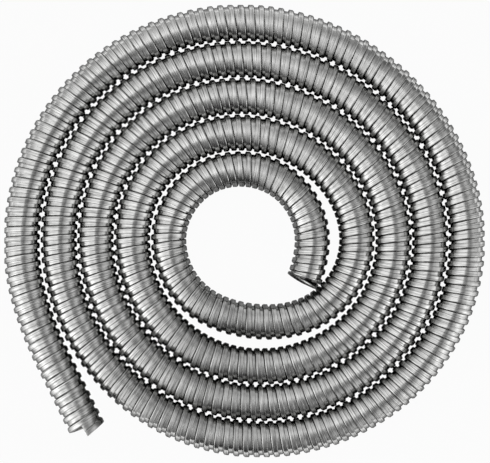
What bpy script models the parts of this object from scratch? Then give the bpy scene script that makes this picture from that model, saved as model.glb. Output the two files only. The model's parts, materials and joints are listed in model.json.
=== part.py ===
"""Flexible metal conduit, strip-wound, lying on its side in a flat coil.

One steel strip is wound on a right-handed helix, and each turn hooks into the next. From outside
that reads as a tube of raised crests and sunken valleys. Metres, +Z up. The coil lies on z = 0 with
the middle of its footprint at the origin, and it runs anticlockwise from its inner end outwards.
"""

import math

import bpy
import numpy as np

# The tube
length = 3.0
outside_diameter = 0.0245
fold_depth = 0.0020
wall = 0.0016
stretched_pitch = 0.0071
crest_share = 0.45

# The coil
turn_clearance = 0.0007
eye_radius = 0.0436
inner_end_angle = math.radians(-40.5)
tail_length = 0.112
tail_easing = 0.106

# How the hand-wound coil is out of round: lobes in a turn, how far they stand out, where the first is.
coil_lobes = [
    (1, 0.00874, math.radians(-45.7)),
    (2, 0.00266, math.radians(-24.8)),
    (3, 0.00056, math.radians(-5.7)),
    (4, 0.00038, math.radians(-8.6)),
]

# Where the first turn draws away from the second: at what angle along the coil, how far, over what
# angle. The last one is negative, because the inner end springs back out.
slack_places = [
    (math.radians(-2.0), 0.0067, math.radians(39.0)),
    (math.radians(272.0), 0.0061, math.radians(38.0)),
    (math.radians(-55.0), -0.0072, math.radians(22.0)),
]

# Facets
route_step = math.radians(1.0)
lines_per_pitch = 2
least_facet = 0.2

radius = outside_diameter / 2
valley_radius = radius - fold_depth
bore_radius = valley_radius - wall
turn_spacing = outside_diameter + turn_clearance

# The round section as a hexagon of about the same area: flat below and on top, a corner on each side.
# Each corner is (outwards, up), in the order in which the right-handed strip passes them.
section = np.array([(1, 0), (0.5, -1), (-0.5, -1), (-1, 0), (-0.5, 1), (0.5, 1)])
corners = len(section)


def coil_radius(angle):
    """The coil's radius: a spiral, plus its lobes, less the places where the first turn draws in."""
    distance = eye_radius + turn_spacing * angle / math.tau
    for count, height, direction in coil_lobes:
        distance = distance + height * np.cos(count * (angle - direction))
    for middle, depth, width in slack_places:
        distance = distance - depth * np.exp(-(((angle - middle) / width) ** 2))
    return distance


def lengths_along(points):
    """How far each point lies along the line through them."""
    steps = np.linalg.norm(np.diff(points, axis=0), axis=1)
    return np.concatenate([[0], np.cumsum(steps)])


def headings(points):
    """The direction of the line at each point, as an angle that doesn't jump."""
    across = np.gradient(points, axis=0)
    return np.unwrap(np.arctan2(across[:, 1], across[:, 0]))


def coil_points():
    """The centreline of the wound part, with the tail's length left over."""
    wanted = length - tail_length
    turns = 1
    while True:
        angles = np.arange(inner_end_angle, inner_end_angle + turns * math.tau, route_step)
        distance = coil_radius(angles)
        points = np.stack([distance * np.cos(angles), distance * np.sin(angles)], axis=1)
        along = lengths_along(points)
        if along[-1] > wanted:
            return points[along < wanted]
        turns += 1


def route():
    """The whole centreline: points, how far along each lies, its heading and its curvature."""
    coil = coil_points()
    heading = headings(coil)
    coil_along = lengths_along(coil)
    step = coil_along[-1] - coil_along[-2]
    bend = (heading[-2] - heading[-3]) / step

    # The tail leaves along the coil's own curve, and its bend eases off to nothing.
    run = length - coil_along[-1]
    count = max(2, round(run / step))
    tail = np.linspace(0, run, count + 1)
    eased = np.minimum(tail, tail_easing)
    tail_heading = heading[-2] + bend * (step + eased - eased**2 / (2 * tail_easing))
    middle = (tail_heading[1:] + tail_heading[:-1]) / 2
    steps = np.stack([np.cos(middle), np.sin(middle)], axis=1) * (run / count)
    points = np.concatenate([coil, coil[-1] + np.cumsum(steps, axis=0)])

    along = lengths_along(points)
    heading = headings(points)
    curvature = np.gradient(heading, along)
    return points, along, heading, curvature


def strip_turns(along, curvature):
    """Turns of strip up to each point. On the outside of a bend they are pulled fully apart, and the
    centreline there is shorter than the outside by the bend's own ratio."""
    density = (1 + radius * curvature) / stretched_pitch
    steps = np.diff(along) * (density[1:] + density[:-1]) / 2
    return np.concatenate([[0], np.cumsum(steps)])


def place(line, distance, outwards, up):
    """A point beside the centreline, at a distance along it."""
    points, along, heading, _ = line
    x = np.interp(distance, along, points[:, 0])
    y = np.interp(distance, along, points[:, 1])
    turned = np.interp(distance, along, heading)
    return np.stack([x + outwards * np.sin(turned), y - outwards * np.cos(turned), up], axis=-1)


def fold_columns(line):
    """The folded skin as one column of points for each corner of the section. A column steps from
    crest to valley and on, and the next column starts a sixth of a turn later."""
    _, along, _, curvature = line
    turns = strip_turns(along, curvature)
    columns = []
    for corner, (outwards, up) in enumerate(section):
        index = np.arange(-lines_per_pitch, int(turns[-1] + 2) * lines_per_pitch)
        crest = index % lines_per_pitch == 0
        turn = index // lines_per_pitch + np.where(crest, 0, crest_share) + corner / corners
        size = np.where(crest, radius, valley_radius)
        distance = np.interp(turn, turns, along, left=-1, right=length + 1)
        points = place(line, distance, outwards * size, up * size)
        columns.append((distance, points))
    return columns


def end_ring(line, distance, size):
    """The section's corners in the plane of a square cut."""
    return place(line, distance, section[:, 0] * size, section[:, 1] * size)


def bore_distances(line):
    """Where the bore has its rings: closer where the coil is tight, so that the straight runs between
    them stay inside the wall."""
    _, along, _, curvature = line
    bend = np.abs(curvature) + 1 / length
    longest = np.sqrt(8 * wall / bend)
    rings = np.concatenate([[0], np.cumsum(np.diff(along) / longest[1:])])
    count = math.ceil(rings[-1])
    return np.interp(np.arange(count + 1) / count * rings[-1], rings, along)


class Shell:
    """The points and faces of the solid, as they are added."""

    def __init__(self):
        self.points = []
        self.faces = []

    def add_points(self, points):
        first = len(self.points)
        self.points.extend(map(tuple, points))
        return list(range(first, len(self.points)))

    def add_face(self, corner_indices):
        """Adds a face, leaving out corners that fall together."""
        kept = list(dict.fromkeys(corner_indices))
        if len(kept) > 2:
            self.faces.append(kept)


def add_skin(shell, line, start_ring, finish_ring):
    """The folded outside, from the ring of one cut end to the ring of the other."""
    margin = least_facet * stretched_pitch
    columns = []
    for corner, (distance, points) in enumerate(fold_columns(line)):
        inside = (distance > margin) & (distance < length - margin)
        indices = np.full(len(distance), start_ring[corner])
        indices[distance >= length - margin] = finish_ring[corner]
        indices[inside] = shell.add_points(points[inside])
        columns.append(indices.tolist())
    for corner in range(corners):
        this = columns[corner]
        other = columns[(corner + 1) % corners]
        if corner == corners - 1:
            other = other[lines_per_pitch:] + [finish_ring[0]] * lines_per_pitch
        for row in range(len(this) - 1):
            shell.add_face([this[row], other[row], other[row + 1], this[row + 1]])


def add_bore(shell, line):
    """The bore's wall, facing the tube's axis. It returns the rings at its two ends."""
    points, along, heading, curvature = line
    distances = bore_distances(line)
    rings = []
    for index, distance in enumerate(distances):
        shift = 0
        if 0 < index < len(distances) - 1:
            span = (distances[index + 1] - distances[index - 1]) / 2
            shift = np.interp(distance, along, curvature) * span**2 / 16
        ring = place(line, distance, section[:, 0] * bore_radius + shift, section[:, 1] * bore_radius)
        rings.append(shell.add_points(ring))
    for this, other in zip(rings, rings[1:]):
        for corner in range(corners):
            following = (corner + 1) % corners
            shell.add_face([this[corner], other[corner], other[following], this[following]])
    return rings[0], rings[-1]


def add_cut_end(shell, outer, inner):
    """The flat ring between the skin and the bore at a cut end."""
    for corner in range(corners):
        following = (corner + 1) % corners
        shell.add_face([outer[corner], inner[corner], inner[following], outer[following]])


def conduit_mesh():
    line = route()
    shell = Shell()
    start_outer = shell.add_points(end_ring(line, 0, valley_radius))
    finish_outer = shell.add_points(end_ring(line, length, valley_radius))
    add_skin(shell, line, start_outer, finish_outer)
    start_inner, finish_inner = add_bore(shell, line)
    add_cut_end(shell, start_outer, start_inner)
    add_cut_end(shell, finish_inner, finish_outer)

    points = np.array(shell.points)
    lowest = points.min(axis=0)
    highest = points.max(axis=0)
    middle = (lowest + highest) / 2
    points -= (middle[0], middle[1], lowest[2])

    mesh = bpy.data.meshes.new("conduit")
    mesh.from_pydata(points.tolist(), [], shell.faces)
    mesh.validate()
    mesh.shade_smooth()
    mesh.set_sharp_from_angle(angle=math.radians(50))
    return mesh


def stainless_steel():
    """Bare stainless strip, bright but brushed along its length."""
    material = bpy.data.materials.new("stainless_steel")
    material.use_nodes = True
    shader = material.node_tree.nodes["Principled BSDF"]
    shader.inputs["Base Color"].default_value = (0.56, 0.56, 0.55, 1)
    shader.inputs["Metallic"].default_value = 1
    shader.inputs["Roughness"].default_value = 0.3
    return material


def main():
    for thing in list(bpy.data.objects):
        bpy.data.objects.remove(thing, do_unlink=True)
    conduit = bpy.data.objects.new("conduit", conduit_mesh())
    conduit.data.materials.append(stainless_steel())
    bpy.context.scene.collection.objects.link(conduit)


main()
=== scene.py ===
import json
import math

import bpy
import numpy as np
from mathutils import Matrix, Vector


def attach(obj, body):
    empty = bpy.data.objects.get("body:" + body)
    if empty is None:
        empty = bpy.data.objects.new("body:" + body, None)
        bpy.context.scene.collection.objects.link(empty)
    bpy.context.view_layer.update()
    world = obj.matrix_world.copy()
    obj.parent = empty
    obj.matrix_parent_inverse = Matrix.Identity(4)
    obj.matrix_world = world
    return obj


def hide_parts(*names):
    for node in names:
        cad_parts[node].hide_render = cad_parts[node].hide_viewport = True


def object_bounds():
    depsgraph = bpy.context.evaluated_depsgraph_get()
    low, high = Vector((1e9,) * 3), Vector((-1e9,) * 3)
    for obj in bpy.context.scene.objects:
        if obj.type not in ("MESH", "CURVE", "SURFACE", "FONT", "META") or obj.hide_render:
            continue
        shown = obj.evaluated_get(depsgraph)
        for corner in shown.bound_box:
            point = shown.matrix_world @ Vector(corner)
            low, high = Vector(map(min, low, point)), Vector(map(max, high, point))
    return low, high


# A strip-wound steel conduit lying in a flat coil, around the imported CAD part.
# The folded strip itself is one mesh: its S-shaped section carried along a helix, which follows
# the same centreline as the CAD solid. Lengths are in metres and angles in degrees.

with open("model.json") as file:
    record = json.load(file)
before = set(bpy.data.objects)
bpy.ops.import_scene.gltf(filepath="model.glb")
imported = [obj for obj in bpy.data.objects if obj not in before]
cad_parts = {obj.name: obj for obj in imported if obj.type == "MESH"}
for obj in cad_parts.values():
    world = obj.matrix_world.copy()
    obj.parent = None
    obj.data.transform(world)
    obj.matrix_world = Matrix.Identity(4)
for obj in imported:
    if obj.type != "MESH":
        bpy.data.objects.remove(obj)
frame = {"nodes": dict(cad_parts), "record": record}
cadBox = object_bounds()
print("frame loaded:", sorted(frame["nodes"]))

# The centreline, with the same values as the CAD part.
route = {
    "length": 3.0,
    "outsideDiameter": 0.0245,
    "turnClearance": 0.0007,
    "eyeRadius": 0.0436,
    "innerEndAngle": -40.5,
    "tailLength": 0.112,
    "tailEasing": 0.106,
    # how the coil is out of round: lobes in a turn, how far they stand out, where the first is
    "lobes": [
        (1, 0.00874, -45.7),
        (2, 0.00266, -24.8),
        (3, 0.00056, -5.7),
        (4, 0.00038, -8.6),
    ],
    # where the first turn draws away from the second: angle along the coil, how far, over what angle
    "slackPlaces": [
        (-2.0, 0.0067, 39.0),
        (272.0, 0.0061, 38.0),
        (-55.0, -0.0072, 22.0),
    ],
    "stepDegrees": 1.0,
    "mostTurns": 8,
    # how far the line is carried straight on past both ends
    "pastEnds": 0.02,
    # small bends to the right of the way along: where, how far, over what length
    "wander": [
        (0.037, 0.00095, 0.021),
        (0.076, 0.00062, 0.024),
        (0.155, -0.0006, 0.018),
        (2.885, 0.0006, 0.028),
        (2.966, -0.0008, 0.025),
    ],
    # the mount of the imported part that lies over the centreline's first point
    "startMount": "inner_end_face",
}

# The folded strip. Lengths along the tube are for one turn pulled out as far as it goes.
strip = {
    "name": "conduitStrip",
    "outsideRadius": 0.01224,
    # how much wider the later turns lie on each side, and over what way along that comes in
    "spread": 0.00038,
    "spreadFrom": (0.25, 0.6),
    "fold": 0.0016,
    "thickness": 0.00035,
    "pitch": 0.0071023,
    "crestWidth": 0.0036,
    # how far before the turn's own place its free lip lies
    "lipBefore": 0.0018,
    # how far the rounded edges of the crest, at the lip and at the wall, reach along and inwards
    "lipEdge": (0.00085, 0.0006),
    "wallEdge": (0.00018, 0.00018),
    # the wall's rounded foot, and the gap left under the free lip
    "foot": 0.0002,
    "lipGap": 0.0003,
    # the open slot before each lip: its share of the valley's room, and the least and most it opens
    "slotShare": 0.3,
    "leastSlot": 0.00005,
    "slot": 0.0009,
    # the slots stand more open on one side of the coil: which way, how open opposite, how suddenly
    "openTowards": 225,
    "openOpposite": 0.35,
    "openSharpness": 1.5,
    # the hidden edge: how far it dips below the valley, and reaches under the next crest
    "dip": 0.0012,
    "overlap": 0.0002,
    # how the crest and the valley slope along the tube, and over what length the valley does
    "crestSlope": -0.035,
    "valleySlope": -0.04,
    "valleyRun": 0.0022,
    # how uneven the turns are, as a slope and as lengths
    "unevenSlope": 0.03,
    "unevenPlace": 0.00012,
    "unevenHeight": 0.00004,
    "seed": 7,
    "firstCrestAt": 0.00357,
    # where the hand-wound coil is pushed tighter, or with a minus sign is pulled looser: middle,
    # turns of strip gained there, over what length
    "tighter": [
        (0.39, -0.55, 1.1),
        (0.38, 0.61, 0.24),
        (0.84, 0.94, 0.48),
        (1.5, 0.54, 0.5),
        (2.35, 1.11, 0.8),
        (3.0, 0.7, 0.3),
    ],
    # columns of points: how many to a turn, the least step, and how close they stand at a cut
    "columnsPerTurn": 16,
    "leastStep": 0.01,
    "cutStep": 0.0008,
    # the outer end: how far before it the last crest lies, at what winding angle the strip stops,
    # over what part of a turn and how far it stands off, and over how many turns the valley is cut
    # away, down to what stump
    "lastCrestAt": 0.00076,
    "endAngle": 277.0,
    "flareTurns": 0.27,
    "flare": 0.0016,
    "valleyCutTurns": 0.99,
    "valleyStump": 0.0001,
    # the inner end: where the strip starts, and where it is trimmed, as turn of strip and way along
    "startTurn": -0.055,
    "rim": [
        (-0.06, -0.0003),
        (0.0, 0.0),
        (0.05, -0.0009),
        (0.11, -0.0014),
        (0.2, -0.00145),
        (0.25, -0.0015),
        (0.33, -0.00095),
        (0.44, 0.0003),
        (0.52, 0.00095),
        (0.686, 0.0022),
        (0.76, 0.0022),
        (0.847, 0.0024),
        (0.95, 0.0024),
    ],
    # a notch snipped into the first turn: between which turns, and how much of the fold it leaves
    "snip": (0.868, 0.935),
    "snipLeaves": 0.12,
    # points closer than this are one, and the mesh stays this far inside the CAD part's box
    "weld": 1e-7,
    "inset": 0.00001,
}


def coilRadius(angle):
    # a spiral, plus its lobes, less the places where the first turn draws in
    pitch = route["outsideDiameter"] + route["turnClearance"]
    distance = route["eyeRadius"] + pitch * angle / math.tau
    for count, height, direction in route["lobes"]:
        distance = distance + height * np.cos(count * (angle - math.radians(direction)))
    for middle, depth, width in route["slackPlaces"]:
        away = (angle - math.radians(middle)) / math.radians(width)
        distance = distance - depth * np.exp(-(away**2))
    return distance


def lengthsAlong(points):
    # how far each point lies along the line: the sum of the steps up to it
    steps = np.linalg.norm(np.diff(points, axis=0), axis=1)
    return np.concatenate([[0], np.cumsum(steps)])


def headingsOf(points):
    # the line's direction at each point, as an angle that doesn't jump
    across = np.gradient(points, axis=0)
    return np.unwrap(np.arctan2(across[:, 1], across[:, 0]))


def coilPoints():
    # polar points of the wound part, up to where the tail begins
    wanted = route["length"] - route["tailLength"]
    step = math.radians(route["stepDegrees"])
    start = math.radians(route["innerEndAngle"])
    angles = np.arange(start, start + route["mostTurns"] * math.tau, step)
    distance = coilRadius(angles)
    points = np.stack([distance * np.cos(angles), distance * np.sin(angles)], axis=1)
    return points[lengthsAlong(points) < wanted]


def startPlace():
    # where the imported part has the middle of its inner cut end, seen from above
    places = {mount["name"]: mount["pos_m"] for mount in frame["record"]["mounts"]}
    return np.array(places[route["startMount"]][:2])


def centreline():
    # the coil, then a tail that leaves along its curve and eases out straight
    coil = coilPoints()
    heading = headingsOf(coil)
    coilAlong = lengthsAlong(coil)
    step = coilAlong[-1] - coilAlong[-2]
    bend = (heading[-2] - heading[-3]) / step
    run = route["length"] - coilAlong[-1]
    count = max(2, round(run / step))
    tail = np.linspace(0, run, count + 1)
    easing = route["tailEasing"]
    eased = np.minimum(tail, easing)
    tailHeading = heading[-2] + bend * (step + eased - eased**2 / (2 * easing))
    middle = (tailHeading[1:] + tailHeading[:-1]) / 2
    steps = np.stack([np.cos(middle), np.sin(middle)], axis=1) * (run / count)
    points = np.concatenate([coil, coil[-1] + np.cumsum(steps, axis=0)])
    # each small bend is a bell-shaped step aside
    along = lengthsAlong(points)
    heading = headingsOf(points)
    aside = np.zeros(len(points))
    for place, size, width in route["wander"]:
        aside = aside + size * np.exp(-(((along - place) / width) ** 2))
    points = points + aside[:, None] * np.stack([np.sin(heading), -np.cos(heading)], axis=1)
    return points + startPlace() - coil[0]


class Line:
    # the centreline with its heading and curvature, carried straight on past both ends
    def __init__(self):
        points = centreline()
        along = lengthsAlong(points)
        heading = headingsOf(points)
        curvature = np.gradient(heading, along)
        more = route["pastEnds"]
        first = points[0] - more * np.array([math.cos(heading[0]), math.sin(heading[0])])
        last = points[-1] + more * np.array([math.cos(heading[-1]), math.sin(heading[-1])])
        self.middle = points
        self.points = np.vstack([first, points, last])
        self.along = np.concatenate([[-more], along, [along[-1] + more]])
        self.heading = np.concatenate([heading[:1], heading, heading[-1:]])
        self.curvature = np.concatenate([curvature[:1], curvature, curvature[-1:]])

    def place(self, distance, outwards, up):
        # a point beside the centreline: out to the right of the way along, and up
        x = np.interp(distance, self.along, self.points[:, 0])
        y = np.interp(distance, self.along, self.points[:, 1])
        turned = np.interp(distance, self.along, self.heading)
        return np.stack([x + outwards * np.sin(turned), y - outwards * np.cos(turned), up], -1)


line = Line()
lineLength = round(float(lengthsAlong(line.middle)[-1]), 4)
print("centreline:", len(line.middle), "points,", lineLength, "m")


def stripTurns(line):
    # turns of strip up to each point, counted from the first crest: the outside of every bend is
    # pulled fully apart, and the centreline there is shorter by the bend's own ratio
    radius = route["outsideDiameter"] / 2
    density = (1 + radius * line.curvature) / strip["pitch"]
    steps = np.diff(line.along) * (density[1:] + density[:-1]) / 2
    turns = np.concatenate([[0], np.cumsum(steps)])
    turns += 1 - np.interp(strip["firstCrestAt"], line.along, turns)
    # each tighter stretch adds its turns by a smooth step
    for middle, gained, width in strip["tighter"]:
        share = np.clip((line.along - middle) / width + 0.5, 0, 1)
        turns += gained * share**2 * (3 - 2 * share)
    return turns


def windings(lastTurn):
    # the columns, in turns of strip: even steps round the tube, and a close pair at each cut
    each = 1 / strip["columnsPerTurn"]
    even = np.arange(math.ceil(strip["startTurn"] / each) * each, lastTurn, each)
    extra = [strip["startTurn"], lastTurn]
    for cut in (lastTurn - strip["valleyCutTurns"], *strip["snip"]):
        extra += [cut - strip["cutStep"], cut + strip["cutStep"]]
    nearest = np.min(np.abs(even[:, None] - np.array(extra)[None, :]), axis=1)
    return np.unique(np.concatenate([even[nearest > strip["leastStep"]], extra]))


def stripSection():
    # The strip's section, from the crest's free lip over the crest, down the wall and along the
    # valley to the edge hidden under the next crest, then back along the underside. Each point is
    # how far along from the lip, or from the next turn's lip where the last value is true, then
    # radius, the way the section runs there as (along, outwards), and how much it tilts.
    crest = strip["outsideRadius"]
    valley = crest - strip["fold"]
    thick = strip["thickness"]
    wide = strip["crestWidth"]
    lipWide, lipDeep = strip["lipEdge"]
    wallWide, wallDeep = strip["wallEdge"]
    foot = strip["foot"]
    gap = strip["lipGap"]
    slope = strip["crestSlope"]
    rise = strip["valleySlope"]
    wallTop = crest + slope * wide
    return [
        (0, valley + gap, (0, 1), 0, False),
        (0, crest - lipDeep, (0, 1), 0, False),
        (lipWide, crest, (1, slope), -1, False),
        (wide - wallWide, wallTop, (1, slope), 1, False),
        (wide, wallTop - wallDeep, (0, -1), 1, False),
        (wide, valley + foot, (0, -1), 0, False),
        (wide + foot, valley, (1, rise), -1, False),
        (0, valley + rise * strip["valleyRun"], (1, rise), 1, True),
        (strip["overlap"], valley - strip["dip"], (0.6, -0.8), 0, True),
        (wide - thick, valley - thick, (-1, 0), 0, False),
        (wide - thick, wallTop - thick, (-1, 0), 0, False),
        (thick, crest - thick, (-1, 0), 0, False),
        (thick, valley + gap, (0, -1), 0, False),
    ]


# rows of the section that are looked up: the foot of the wall and the end of the valley
wallFoot = 5
valleyEnd = 7


def unevenness(wind):
    # how each turn tilts, shifts along and swells: a random value for each turn, drawn three times
    # over, and straight lines between
    source = np.random.default_rng(strip["seed"])
    count = math.ceil(wind[-1]) + 3
    tilt, aside, swell = (
        np.interp(wind, np.arange(-1, count - 1), source.uniform(-1, 1, count)) for _ in range(3)
    )
    return tilt * strip["unevenSlope"], aside * strip["unevenPlace"], swell * strip["unevenHeight"]


def standOff(wind, lastTurn):
    # how far the loose last turn stands off from the one before it, by a parabola
    loose = np.clip((wind - lastTurn) / strip["flareTurns"] + 1, 0, 1)
    return strip["flare"] * loose**2


def slotWidths(line, angle, here, room):
    # the open slot before each lip: a share of the room in the valley, up to a limit that goes by
    # the cosine of the winding angle, times the cosine between the tube's side and the open way
    heading = np.interp(here, line.along, line.heading)
    towards = np.cos(angle) * np.cos(heading - math.pi / 2 - math.radians(strip["openTowards"]))
    least = strip["openOpposite"]
    openness = least + (1 - least) * np.clip(0.5 + strip["openSharpness"] * towards, 0, 1)
    return np.clip(strip["slotShare"] * room, strip["leastSlot"], strip["slot"] * openness)


def trimInnerEnd(distances, radii, wind):
    # what lies before the trimmed end's rim is drawn up to it, as a plain cut edge: where the rim
    # crosses the crest it has the crest's radius, and past the wall the valley's
    crest = strip["outsideRadius"]
    thick = strip["thickness"]
    rimTurn, rimAlong = np.array(strip["rim"]).T
    untrimmed = -1.0
    rim = np.where(wind < rimTurn[-1], np.interp(wind, rimTurn, rimAlong), untrimmed)
    top = np.where(rim < distances[wallFoot], crest, crest - strip["fold"])
    row = np.arange(len(distances))[:, None]
    lip = (row == 0) | (row == len(distances) - 1)
    edge = np.where((row > valleyEnd) | lip, top - thick, top)
    before = distances < rim
    return np.where(before, rim, distances), np.where(before, edge, radii)


def stripPlaces(line, section, wind, lastTurn, uneven):
    # how far along the centreline and how far from it each point lies. A length of the section
    # covers less of the centreline on the outside of a bend than on the inside, so it is divided
    # by 1 + bend * radius * cos(winding angle).
    turns = stripTurns(line)
    angle = wind * math.tau
    crest = strip["outsideRadius"]
    valley = crest - strip["fold"]
    wide = strip["crestWidth"]
    lipBefore = strip["lipBefore"]
    foot = strip["foot"]
    tilt, aside, swell = uneven
    here = np.interp(wind, turns, line.along) + standOff(wind, lastTurn) + aside
    following = np.interp(wind + 1, turns, line.along) + standOff(wind + 1, lastTurn)
    bend = np.interp(here, line.along, line.curvature)
    room = (following - here) * (1 + bend * valley * np.cos(angle)) - wide - foot
    slot = slotWidths(line, angle, here, room)
    valleyGone = wind > lastTurn - strip["valleyCutTurns"]
    snipped = (wind > strip["snip"][0]) & (wind < strip["snip"][1])
    distances = []
    radii = []
    for row, (along, size, _, lift, toNext) in enumerate(section):
        stretch = 1 + bend * size * np.cos(angle)
        if row == valleyEnd:
            along = -slot
        if toNext:
            at = following + (along - lipBefore) / stretch + aside
            stump = here + (wide - lipBefore + foot + strip["valleyStump"]) / stretch
            at = np.where(valleyGone, stump, at)
        else:
            at = here + (along - lipBefore) / stretch
        size = size + swell + tilt * lift * wide / 2
        cut = valley + (size - valley) * strip["snipLeaves"]
        size = np.where(snipped & (size > valley), cut, size)
        distances.append(at)
        radii.append(np.minimum(size, crest))
    return trimInnerEnd(np.array(distances), np.array(radii), wind)


def stripGrid(line):
    # The section carried along the helix: a row is one point of the section, and a column is one
    # place round the winding. From the tube's axis, a point lies radius * cos(winding angle)
    # outwards and radius * sin(winding angle) down.
    lastCrest = route["length"] - strip["lastCrestAt"]
    lastWhole = round(float(np.interp(lastCrest, line.along, stripTurns(line))))
    lastTurn = lastWhole + strip["endAngle"] / 360
    wind = windings(lastTurn)
    angle = wind * math.tau
    section = stripSection()
    uneven = unevenness(wind)
    distances, radii = stripPlaces(line, section, wind, lastTurn, uneven)

    # the turns that lie against each other settle a little wider than high
    crest = strip["outsideRadius"]
    start, full = strip["spreadFrom"]
    spread = 1 + strip["spread"] / crest * np.clip((distances - start) / (full - start), 0, 1)
    outwards = radii * np.cos(angle) * spread
    up = crest - radii * np.sin(angle)
    points = line.place(distances, outwards, up)

    # normals: the way round the helix, crossed with the way that the section runs
    tilt = uneven[0]
    heading = np.interp(distances, line.along, line.heading)
    along = np.stack([np.cos(heading), np.sin(heading), np.zeros_like(heading)], -1)
    away = line.place(distances, outwards + np.cos(angle), up - np.sin(angle)) - points
    across = np.array([
        way[0] * along[row] + (way[1] + (tilt * abs(lift))[:, None]) * away[row]
        for row, (_, _, way, lift, _) in enumerate(section)
    ])
    normals = np.cross(np.gradient(points, axis=1), across)
    normals /= np.linalg.norm(normals, axis=-1, keepdims=True) + 1e-12

    low = np.array(cadBox[0]) + strip["inset"]
    high = np.array(cadBox[1]) - strip["inset"]
    points = np.clip(points, low, high)
    flat = [(at + strip["pitch"] * toNext, size) for at, size, _, _, toNext in section]
    steps = [math.dist(first, second) for first, second in zip(flat, flat[1:])]
    developed = np.concatenate([[0], np.cumsum(steps)])
    return points, normals, wind, developed


def stripMesh(line):
    # the grid as quads, its last row joined to its first, with a cap at each end of the strip
    points, normals, wind, developed = stripGrid(line)
    rows, columns = points.shape[:2]
    points = points.reshape(-1, 3)
    # points that fall together at the trimmed end become one, and faces left without area go
    rounded = np.round(points / strip["weld"]).astype(np.int64)
    _, kept, same = np.unique(rounded, axis=0, return_index=True, return_inverse=True)
    index = same.reshape(rows, columns)
    ahead = np.roll(index, -1, axis=0)
    quads = np.stack([index[:, :-1], index[:, 1:], ahead[:, 1:], ahead[:, :-1]], -1)
    quads = quads.reshape(-1, 4)
    repeated = quads == np.roll(quads, 1, axis=1)
    lost = repeated.sum(axis=1)
    threes = quads[lost == 1][~repeated[lost == 1]].reshape(-1, 3)
    faces = quads[lost == 0].tolist() + threes.tolist()
    faces.append(list(dict.fromkeys(index[:, 0].tolist())))
    faces.append(list(dict.fromkeys(index[::-1, -1].tolist())))
    mesh = bpy.data.meshes.new(strip["name"])
    mesh.from_pydata(points[kept].tolist(), [], faces)

    # the strip's own coordinates: along its winding and across its width, in metres
    loops = np.zeros(len(mesh.loops), np.int32)
    mesh.loops.foreach_get("vertex_index", loops)
    windAt = wind * math.tau * strip["outsideRadius"]
    windAt = np.broadcast_to(windAt, (rows, columns)).ravel()[kept]
    acrossAt = np.broadcast_to(developed[:, None], (rows, columns)).ravel()[kept]
    coordinates = np.stack([windAt[loops], acrossAt[loops]], -1).astype(np.float32)
    layer = mesh.uv_layers.new(name="strip")
    layer.data.foreach_set("uv", coordinates.ravel())
    mesh.shade_smooth()
    mesh.normals_split_custom_set_from_vertices(normals.reshape(-1, 3)[kept].tolist())
    return mesh


def addMath(tree, operation, *values):
    # one step of arithmetic; each value is a number or another node's output
    node = tree.nodes.new("ShaderNodeMath")
    node.operation = operation
    for socket, value in zip(node.inputs, values):
        if isinstance(value, (int, float)):
            socket.default_value = value
        else:
            tree.links.new(value, socket)
    return node.outputs[0]


def addRange(tree, value, start, end, smooth=False):
    # turns a range of values into another: start and end are each a value and what it becomes
    node = tree.nodes.new("ShaderNodeMapRange")
    if smooth:
        node.interpolation_type = "SMOOTHSTEP"
    for side, (incoming, outgoing) in (("Min", start), ("Max", end)):
        node.inputs["From " + side].default_value = incoming
        node.inputs["To " + side].default_value = outgoing
    tree.links.new(value, node.inputs["Value"])
    return node.outputs["Result"]


def addRamp(tree, value, stops):
    # colours between stops, each a place from 0 to 1 and a colour
    ramp = tree.nodes.new("ShaderNodeValToRGB")
    elements = ramp.color_ramp.elements
    while len(elements) < len(stops):
        elements.new(0.5)
    for element, (position, color) in zip(elements, stops):
        element.position = position
        element.color = (*color, 1)
    tree.links.new(value, ramp.inputs["Fac"])
    return ramp.outputs["Color"]


def addNoise(tree, coordinates, scale, detail):
    # noise drawn out by a scale for each way
    mapping = tree.nodes.new("ShaderNodeMapping")
    mapping.inputs["Scale"].default_value = scale
    tree.links.new(coordinates, mapping.inputs["Vector"])
    noise = tree.nodes.new("ShaderNodeTexNoise")
    noise.inputs["Scale"].default_value = 1
    noise.inputs["Detail"].default_value = detail
    tree.links.new(mapping.outputs["Vector"], noise.inputs["Vector"])
    return noise.outputs["Fac"]


# The steel: bright rolled strip. Noise scales are waves to a metre, along the strip and across it.
steel = {
    "name": "brushedStainless",
    "anisotropy": 0.7,
    "grainTurn": 0.25,
    "streakScale": (60, 1400, 1),
    "streakDetail": 3,
    "toneScale": (38, 330, 1),
    "toneDetail": 2,
    "toneShare": 0.25,
    "shades": [
        (0.35, (0.24, 0.24, 0.235)),
        (0.8, (0.90, 0.90, 0.89)),
    ],
    # the painted shade on the inner side of the bends, where the turns press together and shade each
    # other: its colour, between which cosines of the winding angle it comes in, after which turns of
    # strip, and how much of its colour there is at most
    "paintedShadeColor": (0.12, 0.12, 0.115, 1),
    "paintedShadeCosines": (-0.45, -0.8),
    "paintedShadeTurns": (45, 60),
    "paintedShadeMost": 0.5,
    # the roughness, between two values of the streaks' noise
    "streakRange": (0.3, 0.7),
    "roughness": (0.16, 0.26),
    "bumpStrength": 0.6,
    "bumpDepth": 0.00004,
}


def paintedShadeShare(tree, coordinates):
    # painted shade on the pressed-together folds on the inner side of the bends, where the turns
    # shade
    # each other: a darker band round the tube, by the cosine of the winding angle, that starts after
    # the first turn of the coil
    parts = tree.nodes.new("ShaderNodeSeparateXYZ")
    tree.links.new(coordinates, parts.inputs["Vector"])
    angle = addMath(tree, "MULTIPLY", parts.outputs["X"], 1 / strip["outsideRadius"])
    cosine = addMath(tree, "COSINE", angle)
    edge, full = steel["paintedShadeCosines"]
    band = addRange(tree, cosine, (edge, 0), (full, 1), smooth=True)
    first, last = steel["paintedShadeTurns"]
    after = addRange(tree, angle, (math.tau * first, 0), (math.tau * last, steel["paintedShadeMost"]))
    return addMath(tree, "MULTIPLY", band, after)


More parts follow.
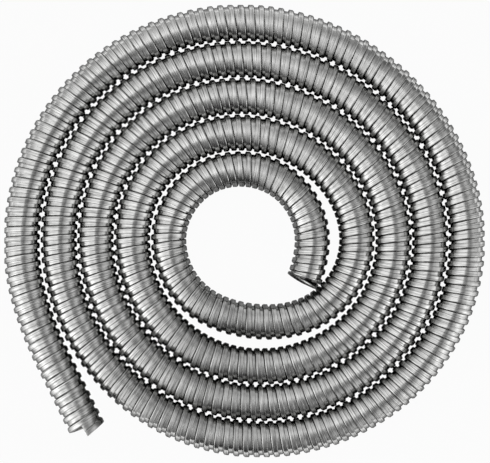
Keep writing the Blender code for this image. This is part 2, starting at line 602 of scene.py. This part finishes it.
def steelMaterial():
    # rolling streaks along the strip, plus a share of slower noise from turn to turn, through a grey
    # ramp; the streaks also make the roughness and the bump, and the winding gives the grain's way
    material = bpy.data.materials.new(steel["name"])
    material.use_nodes = True
    tree = material.node_tree
    nodes = tree.nodes
    links = tree.links
    shader = nodes["Principled BSDF"]
    shader.inputs["Metallic"].default_value = 1
    shader.inputs["Anisotropic"].default_value = steel["anisotropy"]
    shader.inputs["Anisotropic Rotation"].default_value = steel["grainTurn"]
    tangent = nodes.new("ShaderNodeTangent")
    tangent.direction_type = "UV_MAP"
    tangent.uv_map = "strip"
    links.new(tangent.outputs["Tangent"], shader.inputs["Tangent"])

    uv = nodes.new("ShaderNodeUVMap")
    uv.uv_map = "strip"
    coordinates = uv.outputs["UV"]
    streaks = addNoise(tree, coordinates, steel["streakScale"], steel["streakDetail"])
    tone = addNoise(tree, coordinates, steel["toneScale"], steel["toneDetail"])
    mixed = addMath(tree, "MULTIPLY_ADD", tone, steel["toneShare"], streaks)
    # painted shade: the darker band of the inner folds is mixed over the steel's colour
    paintedShadeMix = nodes.new("ShaderNodeMix")
    paintedShadeMix.data_type = "RGBA"
    paintedShadeMix.inputs["B"].default_value = steel["paintedShadeColor"]
    links.new(paintedShadeShare(tree, coordinates), paintedShadeMix.inputs["Factor"])
    links.new(addRamp(tree, mixed, steel["shades"]), paintedShadeMix.inputs["A"])
    links.new(paintedShadeMix.outputs["Result"], shader.inputs["Base Color"])

    smoothest, roughest = zip(steel["streakRange"], steel["roughness"])
    links.new(addRange(tree, streaks, smoothest, roughest), shader.inputs["Roughness"])
    bump = nodes.new("ShaderNodeBump")
    bump.inputs["Strength"].default_value = steel["bumpStrength"]
    bump.inputs["Distance"].default_value = steel["bumpDepth"]
    links.new(streaks, bump.inputs["Height"])
    links.new(bump.outputs["Normal"], shader.inputs["Normal"])
    return material


conduit = bpy.data.objects.new(strip["name"], stripMesh(line))
conduit.data.materials.append(steelMaterial())
bpy.context.scene.collection.objects.link(conduit)
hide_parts("conduit")
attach(conduit, "root")
print("conduit:", len(conduit.data.vertices), "points,", len(conduit.data.polygons), "faces")

# The studio: a pale floor and a soft world of light boxes, with a sharp-edged one overhead.
studio = {
    "floorSize": 6.0,
    "floorColor": (0.32, 0.32, 0.32, 1),
    "floorRoughness": 0.9,
    "floorGlow": 0.96,
    # the contact shade in the floor's reflection: how far it reaches, how sharply, how finely
    "shadowReach": 0.1,
    "shadowPower": 18,
    "shadowSamples": 12,
    "cameraHeight": 2.2,
    "frameCentre": (0.000329, -0.000337),
    "frameWidth": 0.3368,
    "sensorWidth": 36,
    "farthest": 50,
    "overheadTurn": 162,
    # levels across the overhead box, from the dark side to the bright side
    "across": [
        (-1.0, 0.05),
        (-0.58, 0.6),
        (-0.36, 0.2),
        (-0.12, 0.36),
        (-0.04, 0.36),
        (0.05, 1.2),
        (0.35, 1.2),
        (0.7, 1.05),
        (0.88, 0.68),
        (1.0, 0.6),
    ],
    # and how they fall off sideways
    "sideways": [
        (-1.0, 0.12),
        (-0.6, 0.6),
        (0.0, 1.0),
        (0.55, 0.66),
        (0.76, 0.3),
        (0.92, 0.08),
        (1.0, 0.04),
    ],
    # boxes near the horizon: turn, angle from overhead, size, level
    "boxes": [
        (211, 71, 0.82, 1.25),
        (336, 75, 0.76, 1.35),
        (82, 81, 0.70, 0.5),
        (34, 44, 0.60, 0.28),
    ],
    "keyTurn": 115,
    "keyHeight": 50,
    "keyStrength": 0.3,
    "keySoftness": 50,
}


def floorMaterial():
    # a matt grey that takes light and shadow, under a glow that only some rays see: all of it for
    # camera and transmission rays, and for glossy rays times ambient occlusion to a power, which
    # is the shade close to the object
    material = bpy.data.materials.new("paleFloor")
    material.use_nodes = True
    tree = material.node_tree
    nodes = tree.nodes
    links = tree.links
    shader = nodes["Principled BSDF"]
    shader.inputs["Base Color"].default_value = studio["floorColor"]
    shader.inputs["Roughness"].default_value = studio["floorRoughness"]
    shader.inputs["Specular IOR Level"].default_value = 0
    glow = nodes.new("ShaderNodeEmission")
    glow.inputs["Strength"].default_value = 1
    rays = nodes.new("ShaderNodeLightPath").outputs
    shade = nodes.new("ShaderNodeAmbientOcclusion")
    shade.samples = studio["shadowSamples"]
    shade.inputs["Distance"].default_value = studio["shadowReach"]
    clear = addMath(tree, "POWER", shade.outputs["AO"], studio["shadowPower"])
    reflected = addMath(tree, "MULTIPLY", rays["Is Glossy Ray"], clear)
    seen = addMath(tree, "ADD", rays["Is Camera Ray"], rays["Is Transmission Ray"])
    share = addMath(tree, "MULTIPLY", addMath(tree, "ADD", seen, reflected), studio["floorGlow"])
    mix = nodes.new("ShaderNodeMixShader")
    links.new(share, mix.inputs["Fac"])
    links.new(shader.outputs["BSDF"], mix.inputs[1])
    links.new(glow.outputs["Emission"], mix.inputs[2])
    links.new(mix.outputs["Shader"], nodes["Material Output"].inputs["Surface"])
    return material


def makeFloor():
    # one square at height 0, with the coil in its middle
    half = studio["floorSize"] / 2
    corners = [(-half, -half, 0), (half, -half, 0), (half, half, 0), (-half, half, 0)]
    mesh = bpy.data.meshes.new("floor")
    mesh.from_pydata(corners, [], [(0, 1, 2, 3)])
    floor = bpy.data.objects.new("floor", mesh)
    floor.data.materials.append(floorMaterial())
    bpy.context.scene.collection.objects.link(floor)


def levelsAlong(tree, where, direction, stops):
    # grey levels along a horizontal direction, each a place from -1 to 1 and a level
    dot = tree.nodes.new("ShaderNodeVectorMath")
    dot.operation = "DOT_PRODUCT"
    dot.inputs[1].default_value = (math.cos(direction), math.sin(direction), 0)
    tree.links.new(where, dot.inputs[0])
    scaled = addMath(tree, "MULTIPLY", dot.outputs["Value"], 0.5)
    greys = [((place + 1) / 2, (level, level, level)) for place, level in stops]
    return addRamp(tree, addMath(tree, "ADD", scaled, 0.5), greys)


def softBox(tree, where, turn, tilt, size, level):
    # a round light in the sky, whose level falls smoothly to nothing over its size
    turn = math.radians(turn)
    tilt = math.radians(tilt)
    flat = math.sin(tilt)
    far = tree.nodes.new("ShaderNodeVectorMath")
    far.operation = "DISTANCE"
    far.inputs[1].default_value = (flat * math.cos(turn), flat * math.sin(turn), math.cos(tilt))
    tree.links.new(where, far.inputs[0])
    return addRange(tree, far.outputs["Value"], (0, level), (size, 0), smooth=True)


def makeWorld():
    # brightness by direction: an overhead box with one sharp edge, times a fall-off sideways, plus
    # soft round boxes near the horizon
    world = bpy.data.worlds.new("studio")
    bpy.context.scene.world = world
    world.use_nodes = True
    tree = world.node_tree
    where = tree.nodes.new("ShaderNodeTexCoord").outputs["Generated"]
    turn = math.radians(studio["overheadTurn"])
    across = levelsAlong(tree, where, turn, studio["across"])
    sideways = levelsAlong(tree, where, turn + math.pi / 2, studio["sideways"])
    light = addMath(tree, "MULTIPLY", across, sideways)
    for box in studio["boxes"]:
        light = addMath(tree, "ADD", light, softBox(tree, where, *box))
    background = tree.nodes["Background"]
    background.inputs["Strength"].default_value = 1
    tree.links.new(light, background.inputs["Color"])


def makeKey():
    # a broad soft lamp from behind on the left, for the floor's light and the shadow on it
    data = bpy.data.lights.new("key", "SUN")
    data.energy = studio["keyStrength"]
    data.angle = math.radians(studio["keySoftness"])
    key = bpy.data.objects.new("key", data)
    tilt = math.radians(90 - studio["keyHeight"])
    key.rotation_euler = (0, tilt, math.radians(studio["keyTurn"]))
    key.visible_glossy = False
    bpy.context.scene.collection.objects.link(key)


def makeCamera():
    # straight above, with a lens that fits the photo's width at the height of the tube's middle
    data = bpy.data.cameras.new("camera")
    camera = bpy.data.objects.new("camera", data)
    bpy.context.scene.collection.objects.link(camera)
    x, y = studio["frameCentre"]
    camera.location = (x, y, studio["cameraHeight"])
    data.sensor_width = studio["sensorWidth"]
    distance = studio["cameraHeight"] - route["outsideDiameter"] / 2
    data.lens = data.sensor_width * distance / studio["frameWidth"]
    data.clip_end = studio["farthest"]
    bpy.context.scene.camera = camera


makeFloor()
makeWorld()
makeKey()
makeCamera()
bpy.context.scene.view_settings.view_transform = "Standard"
print("studio ready")
